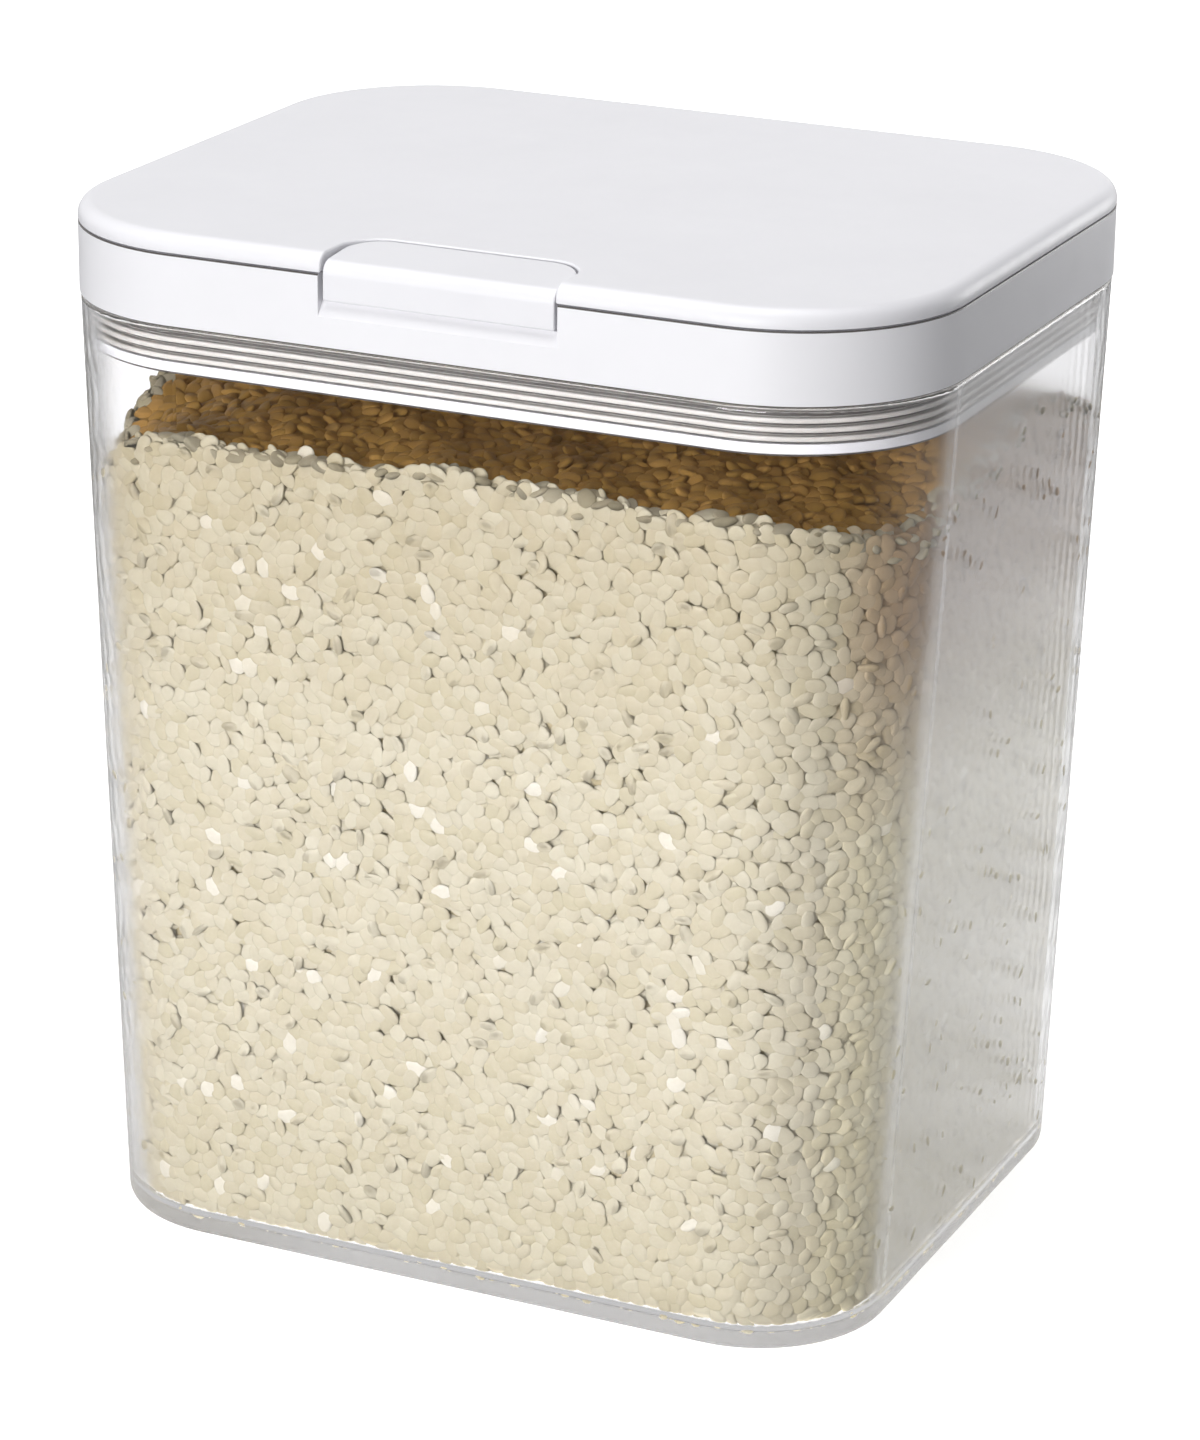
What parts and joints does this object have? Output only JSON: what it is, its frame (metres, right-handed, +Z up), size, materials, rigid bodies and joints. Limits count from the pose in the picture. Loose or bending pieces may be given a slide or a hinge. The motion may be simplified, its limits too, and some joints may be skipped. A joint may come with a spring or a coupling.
{
  "type": "rice bin with flip lid",
  "caption": "Clear rounded-rectangular rice storage bin with a white lift-off lid ring, a full-top flip cover, a finned rim gasket and a front latch.",
  "frame": {"origin": "centre of the base, on the plane the bin stands on", "axes": "+Z up, -Y towards the front with the latch, +Y towards the hinges, +X to the right seen from the front"},
  "size_m": [0.2, 0.1642, 0.2293],
  "materials": {
    "clear_plastic": "clear polished",
    "white_plastic": "fine satin",
    "silicone": "translucent matte",
    "steel": "drawn"
  },
  "bodies": {
    "bin": {"container": "clear_plastic"},
    "lid": {"lid_ring": "white_plastic", "rim_gasket": "silicone", "hinge_pin_left": "steel", "hinge_pin_right": "steel"},
    "cover": {"cover_shell": "white_plastic", "cover_liner": "white_plastic", "mouth_seal": "silicone", "latch_pin": "steel"},
    "latch_lever": {"latch": "white_plastic"}
  },
  "joints": [
    {"name": "lid_lift", "type": "slide", "parent": "bin", "child": "lid", "axis": [0, 0, 1], "range_m": [0, 0.05]},
    {"name": "cover_hinge", "type": "hinge", "parent": "lid", "child": "cover", "pos_m": [0, 0.0812, 0.222], "axis": [-1, 0, 0], "range_deg": [0, 105]},
    {"name": "latch_pivot", "type": "hinge", "parent": "cover", "child": "latch_lever", "pos_m": [0, -0.0715, 0.2267], "axis": [-1, 0, 0], "range_deg": [0, 30]}
  ]
}
